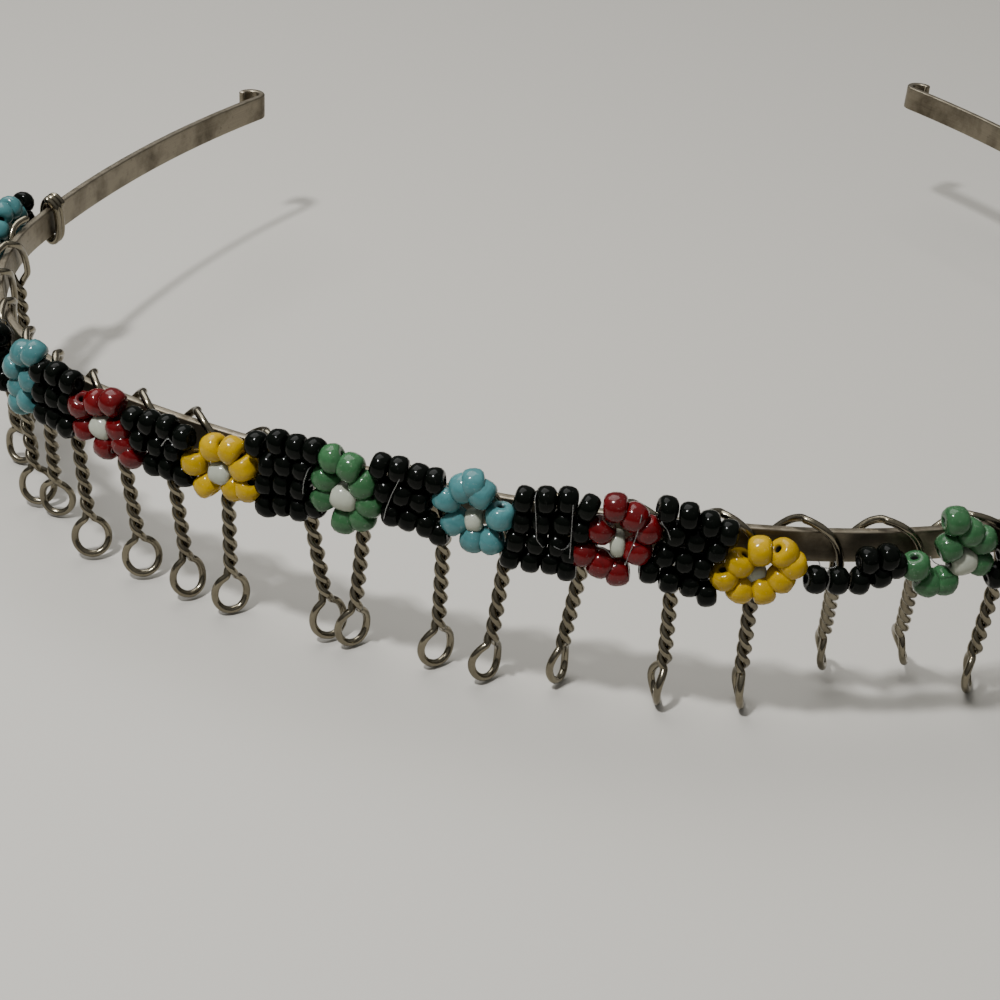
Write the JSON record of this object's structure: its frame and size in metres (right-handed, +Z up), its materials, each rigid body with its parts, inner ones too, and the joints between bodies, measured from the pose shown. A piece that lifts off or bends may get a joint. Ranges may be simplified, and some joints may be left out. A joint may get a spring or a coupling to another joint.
{
  "type": "beaded headband",
  "caption": "Springy metal hair band with a wound wire comb of looped teeth, dressed outside with seed bead daisies and black bead rows between them.",
  "frame": {"origin": "middle of the bounding box, on the plane that the comb teeth stand on", "axes": "+X towards the band's right as seen from the front, +Y from the front towards the open ends, +Z up from the tooth tips to the band"},
  "size_m": [0.1554, 0.1297, 0.0253],
  "materials": {
    "band_steel": "satin",
    "wire_steel": "polished",
    "blue_glass": "gloss",
    "red_glass": "gloss",
    "yellow_glass": "gloss",
    "green_glass": "gloss",
    "pearl": "pearl",
    "black_glass": "gloss"
  },
  "bodies": {
    "root": {"strip": "band_steel", "wire_end_left": "wire_steel", "wire_end_right": "wire_steel", "tooth_01": "wire_steel", "tooth_02": "wire_steel", "tooth_03": "wire_steel", "tooth_04": "wire_steel", "tooth_05": "wire_steel", "tooth_06": "wire_steel", "tooth_07": "wire_steel", "tooth_08": "wire_steel", "tooth_09": "wire_steel", "tooth_10": "wire_steel", "tooth_11": "wire_steel", "tooth_12": "wire_steel", "tooth_13": "wire_steel", "tooth_14": "wire_steel", "tooth_15": "wire_steel", "tooth_16": "wire_steel", "tooth_17": "wire_steel", "tooth_18": "wire_steel", "tooth_19": "wire_steel", "tooth_20": "wire_steel", "tooth_21": "wire_steel", "tooth_22": "wire_steel", "tooth_23": "wire_steel", "tooth_24": "wire_steel", "tooth_25": "wire_steel", "tooth_26": "wire_steel", "tooth_27": "wire_steel", "tooth_28": "wire_steel", "tooth_29": "wire_steel", "tooth_30": "wire_steel", "flower_01_blue": "blue_glass", "flower_02_yellow": "yellow_glass", "flower_03_green": "green_glass", "flower_04_blue": "blue_glass", "flower_05_red": "red_glass", "flower_06_yellow": "yellow_glass", "flower_07_green": "green_glass", "flower_08_blue": "blue_glass", "flower_09_red": "red_glass", "flower_10_yellow": "yellow_glass", "flower_11_green": "green_glass", "flower_12_blue": "blue_glass", "flower_13_red": "red_glass", "flower_14_yellow": "yellow_glass", "flower_15_green": "green_glass", "flower_16_blue": "blue_glass", "flower_17_red": "red_glass", "flower_18_yellow": "yellow_glass", "centre_beads": "pearl", "black_beads_left": "black_glass", "black_beads_right": "black_glass"}
  },
  "joints": []
}
